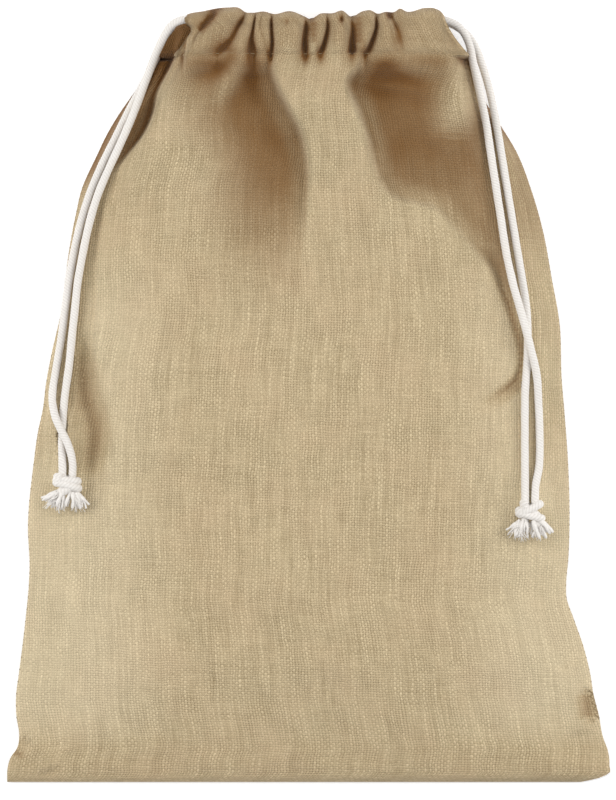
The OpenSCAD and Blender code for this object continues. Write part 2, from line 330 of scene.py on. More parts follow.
def hessian_material():
    """Plain weave of uneven jute yarns. The UV map is the flat cloth, in metres."""
    n = Nodes("hessian")
    warp_pitch, weft_pitch = 0.00145, 0.00125
    uv = n.add("ShaderNodeUVMap", uv_map="UVMap").outputs["UV"]
    split = n.add("ShaderNodeSeparateXYZ")
    n.link(uv, split.inputs[0])

    def count_of(axis, pitch, scale, wander):
        """How many yarns lie before a point, since each yarn wanders a little."""
        aside = n.times(n.less(n.noise(uv, scale, 3.0), 0.5), wander)
        return n.plus(n.math("DIVIDE", split.outputs[axis], pitch), aside)

    def along(row, distance, scale, seed):
        """Noise that runs along each yarn and has nothing to do with its neighbour's."""
        place = n.add("ShaderNodeCombineXYZ")
        n.link(n.times(row, 17.3), place.inputs[0])
        n.link(n.times(distance, scale), place.inputs[1])
        place.inputs[2].default_value = seed
        return n.noise(place.outputs[0], 1.0, 2.0, 0.6)

    def yarns(count, crossed, axis, slub, fat, width, level):
        """Height and lightness of the yarns that run along the axis, over and under in turn."""
        row, distance = n.math("FLOOR", count), split.outputs[axis]
        turn = n.math("COSINE", n.times(n.plus(crossed, row), math.pi))
        wide = n.plus(n.times(along(row, distance, *fat), 0.7), width)
        around = n.math("ABSOLUTE", n.math("SINE", n.times(count, math.pi)))
        high = n.times(n.times(around, wide), n.plus(n.times(turn, 0.58), level))
        return high, along(row, distance, *slub)

    u = count_of("X", warp_pitch, 110.0, 1.7)
    v = count_of("Y", weft_pitch, 95.0, 1.6)
    warp_high, warp_slub = yarns(u, n.less(v, 0.5), "Y", (45, 3.0), (120, 14.0), 0.55, 0.62)
    weft_high, weft_slub = yarns(v, n.plus(u, 0.5), "X", (60, 8.0), (140, 21.0), 0.5, 0.54)
    weave = n.math("MAXIMUM", warp_high, weft_high)
    on_top = n.levels(n.less(warp_high, weft_high), -0.12, 0.12)
    slub = n.add("ShaderNodeMix", data_type="FLOAT")
    for socket, value in ((0, on_top), (2, weft_slub), (3, warp_slub)):
        n.link(value, slub.inputs[socket])
    fibre = n.noise(n.scaled(uv, (2600, 1500, 1)), 1.0, 3.0, 0.7)
    broad = n.noise(uv, 26.0, 3.0, 0.6)
    patch = n.noise(n.scaled(uv, (260, 110, 1)), 1.0, 2.0, 0.6)
    open_weave = n.noise(n.scaled(uv, (70, 40, 1)), 1.0, 2.0, 0.5)
    streak = n.noise(n.scaled(uv, (520, 16, 1)), 1.0, 2.0, 0.6)
    patchy = n.plus(n.times(n.levels(patch, 0.3, 0.7), 0.14),
                    n.times(n.levels(streak, 0.34, 0.66), 0.28))
    light = n.plus(n.times(n.levels(slub.outputs[0], 0.3, 0.7), 0.58), patchy)
    yarn = n.mix(light, (0.36, 0.272, 0.145), (0.78, 0.635, 0.40))
    yarn = n.mix(n.times(n.less(1.0, on_top), 0.3), yarn, (0.30, 0.215, 0.11))
    yarn = n.mix(n.times(n.levels(broad, 0.42, 0.68), 0.38), yarn, (0.60, 0.435, 0.265))
    yarn = n.mix(n.times(n.levels(fibre, 0.35, 0.75), 0.35), yarn, (0.76, 0.64, 0.43))
    # Painted shade: the gaps between the yarns are painted dark brown.
    gap = n.times(n.levels(weave, 0.52, 0.12),
                 n.plus(n.times(n.levels(open_weave, 0.4, 0.62), 0.6), 0.4))
    cloth = n.mix(n.times(gap, 0.72), yarn, (0.185, 0.125, 0.055))
    # Painted shading carried by each point: above 0 it paints shade, a browner and darker cloth, in
    # hollows, valleys and folds; from 1 up it paints deep, nearly black shade; below 0 it paints light, a
    # paler cloth.
    painted_shading = n.add("ShaderNodeAttribute", attribute_name="painted_shading").outputs["Fac"]
    cloth = n.mix(n.levels(painted_shading, 0.0, 1.12), cloth, (0.185, 0.078, 0.013))
    cloth = n.mix(n.levels(painted_shading, 0.0, -1.0), cloth, (1.0, 0.9, 0.66))
    cloth = n.mix(n.levels(painted_shading, 1.0, 1.8), cloth, (0.05, 0.022, 0.008))
    height = n.plus(weave, n.times(fibre, 0.25))
    n.surface(Base_Color=cloth, Roughness=n.plus(n.times(fibre, 0.15), 0.8), Specular_IOR_Level=0.2,
              Sheen_Weight=0.1, Sheen_Roughness=0.6, Normal=n.bump(height, 0.9, 0.0005))
    return n.material


def cotton_material():
    """Soft cotton. The UV map runs along the cord and around it, in metres."""
    n = Nodes("cotton_cord")
    uv = n.add("ShaderNodeUVMap", uv_map="UVMap").outputs["UV"]
    fibre = n.noise(n.scaled(uv, (900, 3200, 1)), 1.0, 3.0, 0.65)
    soft = n.noise(uv, 90.0, 3.0, 0.6)
    # Painted shade from each point: in the grooves between the plies, and at the roots of the frayed
    # fibres.
    cord_shade = n.add("ShaderNodeAttribute", attribute_name="cord_shade").outputs["Fac"]
    cord = n.mix(n.levels(fibre, 0.3, 0.75), (0.76, 0.725, 0.69), (0.90, 0.875, 0.845))
    cord = n.mix(n.times(n.levels(soft, 0.45, 0.75), 0.35), cord, (0.83, 0.775, 0.69))
    cord = n.mix(n.times(cord_shade, 0.75), cord, (0.50, 0.455, 0.40))
    height = n.plus(fibre, n.times(soft, 0.4))
    n.surface(Base_Color=cord, Roughness=n.plus(n.times(fibre, 0.15), 0.78), Specular_IOR_Level=0.25,
              Sheen_Weight=0.3, Sheen_Roughness=0.5, Normal=n.bump(height, 0.5, 0.0003))
    return n.material


def thread_material():
    """Twisted sewing thread."""
    n = Nodes("sewing_thread")
    place = n.add("ShaderNodeTexCoord").outputs["Object"]
    twist = n.noise(place, 2400.0, 2.0)
    thread = n.mix(twist, (0.22, 0.155, 0.075), (0.40, 0.30, 0.17))
    n.surface(Base_Color=thread, Roughness=0.7, Normal=n.bump(twist, 0.5, 0.0001))
    return n.material


def floor_material():
    """Matt white board with a faint grain."""
    n = Nodes("studio_floor")
    place = n.add("ShaderNodeTexCoord").outputs["Object"]
    grain = n.noise(place, 300.0, 2.0)
    board = n.mix(grain, (0.86, 0.86, 0.86), (0.88, 0.88, 0.88))
    n.surface(Base_Color=board, Roughness=0.9, Specular_IOR_Level=0.1, Emission_Color=(1, 1, 1, 1),
              Emission_Strength=0.34)
    return n.material


HESSIAN = hessian_material()
COTTON = cotton_material()
THREAD = thread_material()


# ---------------------------------------------------------------- cords

def frames_along(line):
    """Tangent, side and up directions along a line, turned as little as possible."""
    way = np.gradient(line, axis=0)
    way /= np.linalg.norm(way, axis=1)[:, None]
    side = np.cross(way[0], (0, 0, 1.0))
    if np.linalg.norm(side) < 0.1:
        side = np.cross(way[0], (0, 1.0, 0))
    sides = []
    for w in way:
        side = side - np.dot(side, w) * w
        side = side / np.linalg.norm(side)
        sides.append(side)
    sides = np.array(sides)
    return way, sides, np.cross(way, sides)


def laid_cord(name, points, radius=CORD_D / 2, step=0.32, around=26, ends=True):
    """A finely laid cord, whose thin plies wind round it like a rope's."""
    line = spline(points, step)
    _, side, up = frames_along(line)
    run = run_along(line)
    turn = 2 * math.pi * np.arange(around) / around
    plies, rib = 4, 1.5
    plait = np.abs(np.sin((plies * turn[None] + 2 * math.pi * run[:, None] / rib) / 2))
    along = np.repeat(run[:, None], around, axis=1)
    slack = 0.02 * waves(along, 6 * turn[None], 6, 18, 5, len(line))
    r = radius * (0.9 + 0.1 * plait + slack)
    # Painted shade in the grooves between the plies.
    cord_shade = np.clip(0.75 - plait, 0, 1)
    rings = (line[:, None] + r[..., None] * (np.cos(turn)[None, :, None] * side[:, None]
                                             + np.sin(turn)[None, :, None] * up[:, None]))
    n, m = len(line), around
    faces = [(i * m + j, i * m + (j + 1) % m, (i + 1) * m + (j + 1) % m, (i + 1) * m + j)
             for i in range(n - 1) for j in range(m)]
    if ends:
        faces.append(tuple(range(m - 1, -1, -1)))
        faces.append(tuple((n - 1) * m + j for j in range(m)))
    uvs = np.stack([np.repeat(run, m) * MM, np.tile(turn * radius, n) * MM], axis=1)
    piece = new_mesh(name, rings.reshape(-1, 3), faces, uvs)
    add_point_value(piece, "cord_shade", cord_shade)
    dress(piece, COTTON)
    return piece


def add_tube(points, faces, line, radii, sides):
    """Adds a closed tube along the line, with its own radius at each point."""
    first = len(points)
    _, side, up = frames_along(line)
    for k, radius in enumerate(radii):
        for j in range(sides):
            a = 2 * math.pi * j / sides
            points.append(line[k] + radius * (math.cos(a) * side[k] + math.sin(a) * up[k]))
    for k in range(len(line) - 1):
        for j in range(sides):
            a, b = first + k * sides + j, first + k * sides + (j + 1) % sides
            faces.append((a, b, b + sides, a + sides))
    faces.append(tuple(first + j for j in range(sides - 1, -1, -1)))
    faces.append(tuple(first + (len(line) - 1) * sides + j for j in range(sides)))


def joined(name, pieces):
    """The pieces as one object."""
    bpy.ops.object.select_all(action="DESELECT")
    for p in pieces:
        p.select_set(True)
    bpy.context.view_layer.objects.active = pieces[0]
    bpy.ops.object.join()
    pieces[0].name = name
    pieces[0].data.name = name
    return pieces[0]


def inside_loop(word):
    """The part of a drawcord inside the casings: front run, crossover and back run."""
    side = SIDES[word]
    front = ROUTES[word + "_tail_front_strand"][0]
    back = ROUTES[word + "_tail_back_strand"][0]
    cross_low, cross_high = box_mm(word + "_cord_crossover")
    far_x = -side * EXIT_X
    far_y = (cross_low[1] + cross_high[1]) / 2 + 0.2
    bend = 0.55 * (abs(cross_high[0] - cross_low[0]) - CORD_D / 2)
    points = [front, (0, (front[1] + far_y) / 2, front[2]), (far_x, far_y, front[2])]
    for k in range(1, 6):
        a = math.pi / 2 * k / 5
        drop = bend * (1 - math.cos(a))
        points.append((far_x - side * bend * math.sin(a), far_y, front[2] - drop))
    for k in range(0, 6):
        a = math.pi / 2 * k / 5
        climb = bend * (1 - math.sin(a))
        points.append((far_x - side * bend * math.cos(a), far_y, back[2] + climb))
    points += [(0, (back[1] + far_y) / 2, back[2]), back]
    piece = laid_cord(word + "_drawcord_inside", points, ends=False)
    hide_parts(word + "_cord_front_run", word + "_cord_back_run", word + "_cord_crossover")
    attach(piece, word + "_drawcord")


def knot_piece(word):
    """An overhand knot tied in both strands together, pulled tight."""
    low, high = box_mm(word + "_knot")
    centre = (low + high) / 2
    side = SIDES[word]
    parts = []
    # Each wrap: how far up it lies, its tilt, its half width and its depth.
    wraps = {"left": [(2.1, -8, 5.3, 2.5), (-0.4, -17, 5.8, 3.0), (-2.4, 30, 3.4, 2.2)],
             "right": [(1.9, 26, 5.4, 3.0), (-1.3, -16, 5.9, 2.5), (1.4, -40, 4.4, 2.2)]}[word]
    for raised, tilt, wide, deep in wraps:
        a = math.radians(tilt)
        points = []
        for k in range(29):
            t = k / 28
            turn = math.radians(-110 + 440 * t)
            across, depth = wide * math.sin(turn), deep * math.cos(turn)
            slip = (t - 0.5) * 1.6
            points.append(centre + (across * math.cos(a), raised + across * math.sin(a) + slip, depth))
        parts.append(laid_cord("wrap", points))
    for x in (-1, 1):
        points = [(centre[0] + 2.4 * x, high[1] + 0.2, centre[2]),
                  (centre[0] + 1.9 * x, centre[1], centre[2]),
                  (centre[0] + 3.1 * x, low[1] - 0.8, centre[2]),
                  (centre[0] + 4.4 * x + 0.6 * side, low[1] - 2.8, centre[2] - 0.4)]
        parts.append(laid_cord("through", points, radius=CORD_D / 2 - 0.15))
    piece = joined(word + "_knot_wraps", parts)
    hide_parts(word + "_knot")
    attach(piece, word + "_drawcord")
    return piece


def frayed_piece(word):
    """Untwisted plies and loose fibres below the knot, spread like a brush."""
    low, high = box_mm(word + "_frayed_ends")
    centre_x, z = (low[0] + high[0]) / 2, (low[2] + high[2]) / 2
    lean = 1.5 if word == "left" else -0.5
    plies, fibres = 15, 36
    points, faces, uvs, cord_shade = [], [], [], []

    def strand(root, spread, length, thick, sides, count, droop):
        way = np.array([math.sin(spread), -math.cos(spread), 0])
        across = np.array([-way[1], way[0], 0])
        curl, wave = RNG.normal(0, 1.1), RNG.uniform(0, 6.28)
        line, radii = [], []
        for k in range(count):
            t = k / (count - 1)
            bend = curl * t * t + 0.4 * math.sin(wave + 4.5 * t) * t
            middle = root + way * length * t + across * bend
            raised = 0.5 * math.sin(2 * wave + 4 * t) * t + 0.8 * math.sin(math.pi * t)
            middle[2] = max(middle[2] + raised - droop * t * t, z - 3.0)
            line.append(middle)
            radii.append(thick * (1 + 0.18 * math.sin(wave + 9 * t)) * (1 - 0.45 * t * t))
            for j in range(sides):
                uvs.append((length * t * MM, 2 * math.pi * j / sides * thick * MM))
                # Painted shade, strongest at each strand's root by the knot.
                cord_shade.append(0.1 * (1 - t) ** 3)
        add_tube(points, faces, np.array(line), radii, sides)

    for x in (-1, 1):
        for k in range(plies):
            share = (k + 0.5) / plies
            root = np.array([centre_x + 3.6 * x + (share - 0.5) * 4.2 + RNG.normal(0, 0.3),
                             high[1] - 0.4 + RNG.normal(0, 0.5), z + RNG.normal(0.3, 0.9)])
            spread = math.radians(21 * x + (share - 0.5) * 62 + RNG.normal(0, 9) - 4 * lean)
            strand(root, spread, RNG.uniform(6.2, 9.2), RNG.uniform(0.75, 1.1), 8, 14, 0.5)
        for _ in range(fibres):
            root = np.array([centre_x + 4.4 * x + RNG.normal(0, 1.5),
                             high[1] - 3.0 + RNG.normal(0, 0.8), z + RNG.normal(0.5, 0.9)])
            spread = math.radians(24 * x + RNG.normal(0, 26) - 4 * lean)
            strand(root, spread, RNG.uniform(4.0, 7.6), RNG.uniform(0.16, 0.3), 5, 8, 1.2)
    piece = new_mesh(word + "_frayed_fibres", points, faces, uvs)
    add_point_value(piece, "cord_shade", cord_shade)
    dress(piece, COTTON)
    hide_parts(word + "_frayed_ends")
    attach(piece, word + "_drawcord")
    return piece


def make_cords():
    for word in SIDES:
        inside_loop(word)
        knot, fray = knot_piece(word), frayed_piece(word)
        for strand in ("front", "back"):
            node = word + "_tail_" + strand + "_strand"
            route = np.array(ROUTES[node], float)
            piece = laid_cord(word + "_" + strand + "_strand", route)
            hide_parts(node)
            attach(piece, word + "_drawcord")


make_cords()


# ---------------------------------------------------------------- the front cloth

# Outline of the cloth, seen from above: the sides by height.
LEFT_EDGE = through([(-193, -150.6), (-186, -150.4), (-181, -149), (-176, -145.6), (-170, -144.6),
    (-160, -146), (-151, -146.2), (-137, -144.5), (-117, -142), (-84, -139.4), (-66, -140.2),
    (-34, -137.4), (-17, -135), (-7, -132.8), (6, -131.2), (20, -128.6), (46, -122.8), (71, -119.9),
    (92, -116), (103, -113.4), (120, -105.8), (131, -100.5), (141, -94.5), (151, -87.5), (160, -81),
    (168, -76)])
RIGHT_EDGE = through([(-193, 136), (-191.6, 143), (-189, 149.8), (-185, 150.4), (-178, 149.8),
    (-170, 147), (-160, 145.2), (-148, 142.2), (-140, 141), (-125, 137.3), (-111, 132.4), (-101, 129),
    (-93, 128.8), (-82, 129.8), (-67, 130.4), (-35, 129.8), (-8, 127.9), (9, 126.5), (36, 125.5),
    (58, 121.7), (84, 116.8), (103, 111.3), (122, 103.9), (137, 94.8), (148, 88), (158, 85),
    (168, 82.4)])
# Fold lines where the raised middle of the cloth steps down to the shoulders under the cords.
LEFT_FOLD = through([(168, -66.5), (163, -68.8), (151, -74.8), (141, -77), (130, -82), (120, -90),
    (113, -96), (103, -101), (85, -104), (52, -106), (10, -106), (-12, -100), (-40, -96)])
RIGHT_FOLD = through([(168, 80), (161, 82), (151, 84.2), (141, 86.5), (120, 90), (98, 93.5), (60, 100),
    (35, 104.5), (15, 106), (-40, 106)])
CROWN = through([(-193, 13), (-100, 16), (0, 17), (60, 15), (110, 11), (150, 6), (168, 4)])
# The broad fold below the middle pleats: its left edge, and its right edge, which runs on as the
# rim of the bulging body round to the right cord. Each is a line down the cloth.
LEFT_RIM = [(-17.6, 172), (-17.6, 168), (-17.2, 162), (-14.2, 152), (-9.5, 143), (-3.6, 132), (-0.6, 121),
    (0.6, 109), (0, 95), (-1.4, 80), (-3, 66)]
RIGHT_RIM = [(30, 172), (26.5, 168), (22, 161), (18.6, 154), (23.6, 142), (28.8, 127), (32.3, 113),
    (36, 104), (43, 98), (53, 95.5), (62, 93), (69, 87), (76, 79), (84, 70.5), (90, 63), (96.8, 49),
    (101.8, 33), (104.4, 21.4), (102.8, 11), (95.6, 4), (87, -1.6)]
# How deep the cloth falls off outside each rim and how far the hollow reaches, by height.
LEFT_DROP = through([(172, 7), (162, 10), (150, 12), (140, 11), (130, 9.5), (115, 7), (100, 5), (85, 3),
    (70, 0.8)])
RIGHT_DROP = through([(172, 6), (160, 10), (150, 12), (140, 11), (127, 8.5), (113, 6.5), (100, 5),
    (84, 3.4), (73, 3.6), (61, 4.4), (48, 5), (23, 5), (12, 3.6), (4, 1.8), (-2, 0)])
RIGHT_REACH = through([(172, 36), (150, 44), (127, 50), (100, 50), (84, 30), (73, 20), (61, 13), (48, 9),
    (23, 7), (-6, 7)])

# The folds below the gathers, from left to right. Each row is a height up the cloth, where the
# fold lies across it, and how far the cloth rises there above its plain crowned shape.
MIDDLE_RISE = through([(168, 32), (160, 31.5), (150, 29.5), (140, 26.5), (130, 22.5), (115, 16),
    (100, 10.5), (80, 5.8), (60, 2.8), (40, 1), (10, 0.2), (-40, 0)])
LEFT_LOBE = [(168, -58, 31), (160, -60, 29.5), (150, -63, 26), (140, -66, 22), (130, -70, 17.5),
    (115, -76, 12), (100, -84, 8), (80, -90, 5), (50, -92, 3.8), (10, -90, 3), (-12, -84, 2),
    (-40, -70, 0)]
RIGHT_LOBE = [(168, 64, 31), (160, 68, 30), (150, 72, 26.5), (140, 74, 22), (130, 75, 17), (118, 76, 11),
    (100, 79, 6.5), (80, 82, 4), (60, 86, 2.6), (25, 90, 1.4), (-40, 90, 0)]
LEFT_STEP = through([(168, 28), (151, 21), (141, 16.5), (130, 12.5), (120, 9), (113, 7), (103, 5),
    (85, 3.6), (52, 3.4), (10, 3.2), (-12, 2.2), (-40, 0)])
RIGHT_STEP = through([(168, 27), (151, 20), (141, 15.5), (130, 11), (120, 8), (98, 4), (75, 2), (50, 0.6),
    (20, 0)])

# Ridges, and creases where the rise is below 0: rise, half width, share of each end that tapers, line.
NECK_RIDGES = [(1.2, 3.5, 0.3, [(x + 3.5, y) for x, y in LEFT_RIM[1:8]]),
               (1.0, 4, 0.3, [(x - 4, y) for x, y in RIGHT_RIM[3:9]]),
               (5.0, 5.5, 0.6, [(-31, 180), (-33.5, 166), (-40, 155), (-49, 143)]),
               (-3.5, 5.5, 0.6, [(-39, 180), (-47, 166), (-55, 155), (-62, 142)]),
               (1.6, 8, 0.3, [(-64, 150), (-55, 128), (-47, 110), (-45, 90)]),
               (3.0, 5.5, 0.5, [(40, 176), (47, 167), (60, 161)]),
               (2.2, 8, 0.4, [(77, 164), (77, 146), (79, 128)])]
# By the left cord, in the pinched bottom corners and across the lower body.
BODY_RIDGES = [(-3.8, 3.8, 0.15, [(-111, 30), (-111, 3), (-106, -18), (-111, -40)]),
               (1.8, 6, 0.15, [(-103, 30), (-102, 3), (-97, -20), (-100, -44)]),
               (-2.4, 3.2, 0.15, [(-147.5, -180.5), (-144, -176), (-138, -172)]),
               (1.8, 6, 0.15, [(-141, -170), (-134, -178), (-130, -188)]),
               (-3.2, 3.0, 0.15, [(138, -146), (139.5, -154), (142, -164)]),
               (1.8, 6, 0.15, [(130, -134), (131, -150), (134, -170)]),
               (1.6, 22, 0.3, [(-20, -60), (-4, -100), (8, -150)])]


def rows_of(fold):
    return through([(y, x) for y, x, _ in fold]), through([(y, n) for y, _, n in fold])


def body_net():
    """Every fold as a pair of functions of height: where it lies, and its rise."""
    def nothing(y):
        return 0 * np.asarray(y, float)

    def level(x):
        return lambda y: x + 0 * np.asarray(y, float)

    return [(LEFT_EDGE, nothing),
            (lambda y: LEFT_FOLD(y) - 1.6, nothing),
            (lambda y: LEFT_FOLD(y) + 1.2, LEFT_STEP),
            rows_of(LEFT_LOBE),
            (level(-20), MIDDLE_RISE),
            (level(25), MIDDLE_RISE),
            rows_of(RIGHT_LOBE),
            (lambda y: RIGHT_FOLD(y) - 1.2, RIGHT_STEP),
            (lambda y: RIGHT_FOLD(y) + 1.6, nothing),
            (RIGHT_EDGE, nothing)]


def net_rise(net, x, y, sharp=1.0):
    """Rise at each grid point, where a row of the grid has one height y. Creases grow sharper as
    sharp falls below 1, while the crests stay round."""
    places = np.array([where(y) for where, _ in net])
    rises = np.array([rise(y) for _, rise in net])
    out = np.zeros(x.shape)
    for r in range(x.shape[0]):
        xs, ns = np.maximum.accumulate(places[:, r]), rises[:, r]
        i = np.clip(np.searchsorted(xs, x[r], side="right") - 1, 0, len(xs) - 2)
        q = np.clip((x[r] - xs[i]) / np.maximum(xs[i + 1] - xs[i], 1e-6), 0, 1)
        if sharp == 1.0:
            out[r] = ns[i] + (ns[i + 1] - ns[i]) * smooth(q)
        else:
            up = ns[i + 1] > ns[i]
            from_crease = np.sin(math.pi / 2 * np.where(up, q, 1 - q)) ** sharp
            low, high = np.minimum(ns[i], ns[i + 1]), np.maximum(ns[i], ns[i + 1])
            out[r] = low + (high - low) * from_crease
    return out


def nearest(x, y, points):
    """The square of the distance to the nearest of the points, and that point's number."""
    best = np.full(x.shape, 1e9)
    which = np.zeros(x.shape, int)
    for i, (px, py) in enumerate(points):
        d = (x - px) ** 2 + (y - py) ** 2
        which = np.where(d < best, i, which)
        best = np.minimum(d, best)
    return best, which


def beside(x, y, line):
    """Distance from a line through the points, above 0 on its left as it runs, and the height
    of the nearest stretch of it, averaged where two stretches are about as near."""
    pts = flat_spline(line, 1.0)
    way = np.gradient(pts, axis=0)
    way = way / np.linalg.norm(way, axis=1)[:, None]
    best, which = nearest(x, y, pts)
    best = np.sqrt(best)
    side = way[which, 0] * (y - pts[which, 1]) - way[which, 1] * (x - pts[which, 0])
    total = np.zeros(x.shape)
    height = np.zeros(x.shape)
    for px, py in pts[::3]:
        weight = np.exp((best - np.hypot(x - px, y - py)) / (1.5 + 0.12 * best))
        total = total + weight
        height = height + weight * py
    return np.where(best < 4, side, np.sign(side) * best), height / total


def line_hump(x, y, line, width, taper):
    """1 on a line through the given points, falling off to its sides and towards its ends."""
    pts = flat_spline(line, 3.0)
    best, which = nearest(x, y, pts)
    share = which / (len(pts) - 1)
    ends = smooth(share / taper + 0.2) * smooth((1 - share) / taper + 0.2)
    return np.exp(-best / width ** 2) * ends


def rest_under_cords(x, y, z, edge):
    """The cloth swells up to the cords that lie on it, and keeps just below them."""
    for route in ROUTES.values():
        line = spline(route, 1.5)[::2]
        best, which = nearest(x, y, line[:, :2])
        under = np.minimum(line[which, 2] - CORD_D / 2 - 0.25, 15)
        pull = np.exp(-best / 6.0 ** 2) * ramp(edge, 0, 5)
        z = z + pull * (under - z) * (y < STITCH_Y)
    room = CORD_D / 2 + 0.2
    for route in ROUTES.values():
        for px, py, pz in spline(route, 1.0):
            d = (x - px) ** 2 + (y - py) ** 2
            limit = pz - np.sqrt(np.clip(room ** 2 - d, 0, None))
            z = np.where(d < room ** 2, np.minimum(z, limit), z)
    return z


def front_height(x, y):
    """Height of the front cloth's outer face, below the casing's stitch line."""
    left, right = LEFT_EDGE(y), RIGHT_EDGE(y)
    s = (x - left) / (right - left)
    edge = np.minimum(x - left, right - x)
    from_bottom = y - BOTTOM_Y
    seam = (1 - np.exp(-np.maximum(edge, 0) / 2.5)) * (1 - np.exp(-from_bottom / 3))
    puff = smooth((from_bottom + 6) / 75)
    z = 1.3 + 2.4 * seam + CROWN(y) * puff * np.clip(np.sin(math.pi * np.clip(s, 0, 1)), 0, 1) ** 0.85
    z = z + net_rise(body_net(), x, y[:, 0])
    inside = ramp(x - LEFT_FOLD(y), 0, 8) * smooth((RIGHT_FOLD(y) + 4 - x) / 8)
    out, height = beside(x, y, LEFT_RIM)
    drop = LEFT_DROP(height) * smooth((0.4 - out) / 3) * (1 - smooth((-out - 12) / 30))
    z = z - drop * inside * ramp(y, 40, 35)
    out, height = beside(x, y, RIGHT_RIM)
    reach = RIGHT_REACH(height)
    z = z - (RIGHT_DROP(height) * ramp(out, -0.8, 3.2) * inside
             * (1 - smooth((out - 0.25 * reach) / (0.75 * reach))))
    for rise, width, taper, line in NECK_RIDGES:
        z = z + rise * line_hump(x, y, line, width, taper) * inside
    inside_folds = smooth((x - LEFT_FOLD(y) + 1) / 4) * smooth((RIGHT_FOLD(y) - x + 1) / 4)
    pleats = PLEAT_BASE_Z + net_rise(PLEAT_NET, x, y[:, 0], CREASE)
    z = z + (pleats - z) * ramp(y, 157, 11) * inside_folds
    for rise, width, taper, line in BODY_RIDGES:
        z = z + rise * line_hump(x, y, line, width, taper)
    # The seam allowance shows as a faint band along the bottom.
    z = z - 0.5 * np.exp(-((from_bottom - 4.6) / 0.9) ** 2)
    body = ramp(edge, 0, 12) * smooth(from_bottom / 12)
    z = z + body * (0.6 * waves(x, y, 34, 80, 7, 3) + 0.28 * waves(x, y, 12, 26, 9, 5))
    return np.maximum(rest_under_cords(x, y, z, edge), 1.2)


def grid_faces(rows, columns, start=0, flip=False):
    base = np.arange(rows - 1)[:, None] * columns + np.arange(columns - 1)[None] + start
    quads = np.stack([base, base + 1, base + columns + 1, base + columns], axis=-1).reshape(-1, 4)
    return quads[:, ::-1] if flip else quads


def grid_normals(p):
    n = np.cross(np.gradient(p, axis=1), np.gradient(p, axis=0))
    return n / np.maximum(np.linalg.norm(n, axis=2), 1e-9)[..., None]


def cloth_piece(name, outer, uvs, painted_shading, columns, n):
    """The columns a to b of a cloth grid as a piece, its inner face a cloth's thickness in."""
    a, b = columns
    inner = outer - n * CLOTH_T
    inner[..., 2] = np.maximum(inner[..., 2], 0.25)
    o, i, m, t, w = outer[:, a:b], inner[:, a:b], n[:, a:b], uvs[:, a:b], painted_shading[:, a:b]
    rows, cols = o.shape[:2]
    k = rows * cols
    faces = [grid_faces(rows, cols), grid_faces(rows, cols, k, True)]
    index = np.arange(k).reshape(rows, cols)

    def rim(line, turned):
        quads = np.stack([line[:-1], line[1:], line[1:] + k, line[:-1] + k], axis=1)
        return quads[:, ::-1] if turned else quads

    faces += [rim(index[0], True), rim(index[-1], False)]
    faces += [rim(index[:, 0], False), rim(index[:, -1], True)]
    points = np.concatenate([o.reshape(-1, 3), i.reshape(-1, 3)])
    directions = np.concatenate([m.reshape(-1, 3), -m.reshape(-1, 3)])
    flat = np.tile(t.reshape(-1, 2), (2, 1))
    piece = new_mesh(name, points, np.concatenate(faces).tolist(), flat * MM, directions)
    add_point_value(piece, "painted_shading", np.tile(w.reshape(-1), 2))
    dress(piece, HESSIAN)
    return piece


def flat_uvs(p):
    """Where each point lies in the flat cloth: between its true width and an evenly gathered one."""
    p = np.stack([p[..., 0], p[..., 1], blurred(p[..., 2], 3)], axis=-1)
    step = np.linalg.norm(np.diff(p, axis=1), axis=2)
    run = np.concatenate([np.zeros((p.shape[0], 1)), np.cumsum(step, axis=1)], axis=1)
    middle = run[:, p.shape[1] // 2 + 12][:, None]
    true_u = run - middle
    share = true_u / np.maximum(run[:, -1:], 1)
    u = 0.6 * true_u + 0.4 * share * PANEL_WIDTH
    down = np.linalg.norm(np.diff(p, axis=0), axis=2)
    v = np.concatenate([np.zeros((1, p.shape[1])), np.cumsum(down, axis=0)], axis=0)
    v = 0.5 * v + 0.5 * v.mean(axis=1)[:, None]
    return np.stack([u, v], axis=-1)


def blurred(z, reach):
    """z averaged over a square of cells."""
    out = z
    for axis in (0, 1):
        pad = [(reach, reach) if a == axis else (0, 0) for a in (0, 1)]
        total = np.cumsum(np.pad(out, pad, mode="edge"), axis=axis)
        total = np.concatenate([np.zeros_like(np.take(total, [0], axis=axis)), total], axis=axis)
        n = out.shape[axis]
        width = 2 * reach + 1
        out = (np.take(total, range(width, width + n), axis=axis)
               - np.take(total, range(0, n), axis=axis)) / width
    return out


COLUMNS = 301
HALF = COLUMNS // 2
# Painted shade along creases, fold edges and the valley by the left cord: lines, their half width and
# their strength.
PAINTED_SHADE_LINES = [
    ([(-40, 178), (-46, 168), (-50, 161), (-58, 150)], 5.0, 0.5),
    ([(2, 189), (2.5, 173)], 2.2, 0.5),
    ([(24.5, 189), (25, 173)], 2.4, 0.5),
    ([(-43, 194), (-50, 185), (-55, 180)], 2.5, 0.75),
    ([(-112, 24), (-111, 3), (-106, -18), (-111, -42)], 6, 0.5),
    ([(-146, -181), (-144, -177)], 3.5, 0.55),
    ([(138.5, -148), (140, -162)], 4, 0.6),
    ([(91.8, 62), (98.6, 48.5), (103.6, 33), (106.2, 21), (104.4, 9.6), (97, 2.4), (89, -3)], 2.0, 0.85),
]


